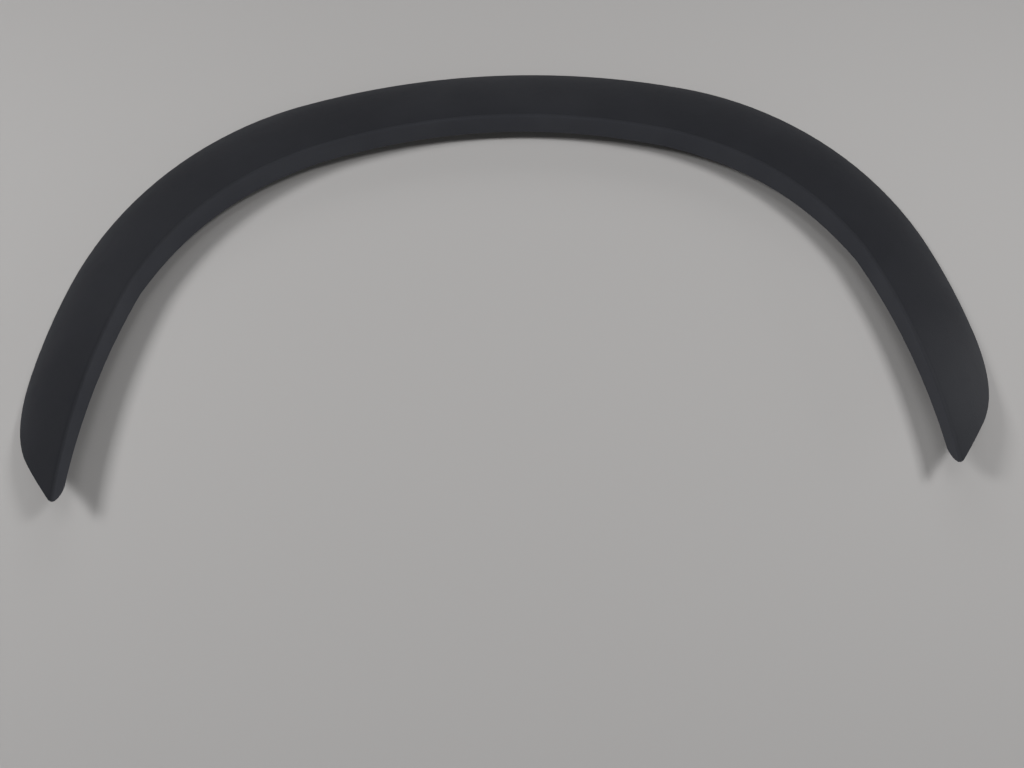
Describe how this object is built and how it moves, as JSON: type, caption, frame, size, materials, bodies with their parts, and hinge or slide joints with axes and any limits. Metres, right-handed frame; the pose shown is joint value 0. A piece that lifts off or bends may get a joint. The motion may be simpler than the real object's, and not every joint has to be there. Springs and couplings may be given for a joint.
{
  "type": "wheel arch trim",
  "caption": "Arched wheel opening trim with a convex grained face, a return flange and pointed ends, held on a body panel by clip towers on its back.",
  "frame": {"origin": "middle of the outline, on the plane that the outer edge lies on", "axes": "+X across the arch to its right leg, +Y towards the crown, +Z out from the body panel through the face"},
  "size_m": [0.8962, 0.4932, 0.0357],
  "materials": {
    "black_plastic": "fine moulded grain, matte"
  },
  "bodies": {
    "root": {"arch_moulding": "black_plastic"}
  },
  "joints": []
}
